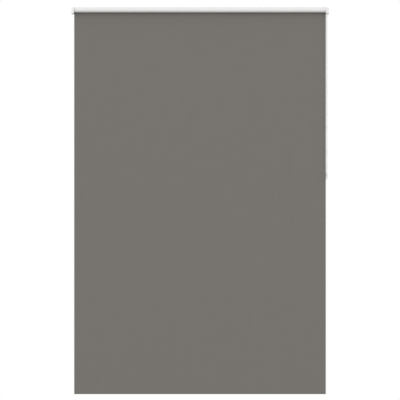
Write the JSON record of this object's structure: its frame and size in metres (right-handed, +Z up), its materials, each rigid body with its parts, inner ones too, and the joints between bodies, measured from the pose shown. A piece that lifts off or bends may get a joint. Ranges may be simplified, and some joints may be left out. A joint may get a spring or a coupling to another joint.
{
  "type": "roller blind",
  "caption": "Wall-fixed roller blind with an exposed roll, grey cloth, bead-chain clutch, sprung idle pin and a concealed bar in the hem.",
  "frame": {"origin": "on the wall plane, midway between the two brackets, at the height of the roller's axis", "axes": "+X along the roller to the chain side, +Y into the wall, +Z up"},
  "size_m": [1, 0.038, 1.5063],
  "materials": {
    "bracket_steel": "zinc-plated pressed steel",
    "spring_steel": "bright drawn wire",
    "tube_aluminium": "mill-finish extrusion",
    "white_plastic": "white injection-moulded ABS, satin",
    "bead_plastic": "white moulded beads on a polyester thread",
    "frosted_plastic": "frosted light grey plastic",
    "grey_plastic": "grey moulded nylon",
    "natural_nylon": "natural nylon",
    "blind_cloth": "warm grey plain-weave polyester, blackout",
    "cloth_coating": "white foam coating on the back of the cloth",
    "adhesive_tape": "double-sided tape"
  },
  "bodies": {
    "frame": {"bracket_idle": "bracket_steel", "bracket_control": "bracket_steel", "cover_idle": "white_plastic", "cover_control": "white_plastic", "idle_bush": "natural_nylon", "clutch_core": "natural_nylon", "core_clip": "spring_steel", "chain_guard": "white_plastic", "bead_chain": "bead_plastic", "chain_connector": "frosted_plastic", "fabric_panel": "blind_cloth"},
    "roll": {"roller_tube": "tube_aluminium", "bonding_tape": "adhesive_tape", "fabric_roll": "cloth_coating", "idle_plug": "grey_plastic", "spring_seat": "natural_nylon", "idle_spring": "spring_steel", "drive_hub": "grey_plastic", "brake_spring_inner": "spring_steel", "brake_spring_outer": "spring_steel"},
    "idle_pin": {"idle_pin": "bracket_steel"},
    "wheel": {"chain_wheel": "white_plastic", "chain_on_wheel": "bead_plastic"},
    "bottom_rail": {"hem_pocket": "blind_cloth", "bottom_bar": "tube_aluminium", "bar_cap_left": "grey_plastic", "bar_cap_right": "grey_plastic"}
  },
  "joints": [
    {"name": "roll_turn", "type": "hinge", "parent": "frame", "child": "roll", "pos_m": [0, -0.024, 0], "axis": [1, 0, 0], "range_deg": [0, 6120]},
    {"name": "wheel_turn", "type": "hinge", "parent": "frame", "child": "wheel", "pos_m": [0.4924, -0.024, 0], "axis": [1, 0, 0], "range_deg": [0, 6120]},
    {"name": "blind_lift", "type": "slide", "parent": "frame", "child": "bottom_rail", "axis": [0, 0, 1], "range_m": [0, 1.4508], "deforming": ["fabric_panel"]},
    {"name": "idle_pin_press", "type": "slide", "parent": "roll", "child": "idle_pin", "axis": [1, 0, 0], "range_m": [0, 0.005], "stiffness_N_per_m": 400, "springref_m": -0.006, "deforming": ["idle_spring"]}
  ],
  "couplings": [
    {"joint": "wheel_turn", "follows": "roll_turn", "ratio": 1},
    {"joint": "blind_lift", "follows": "roll_turn", "m_per_rad": 0.01358}
  ]
}
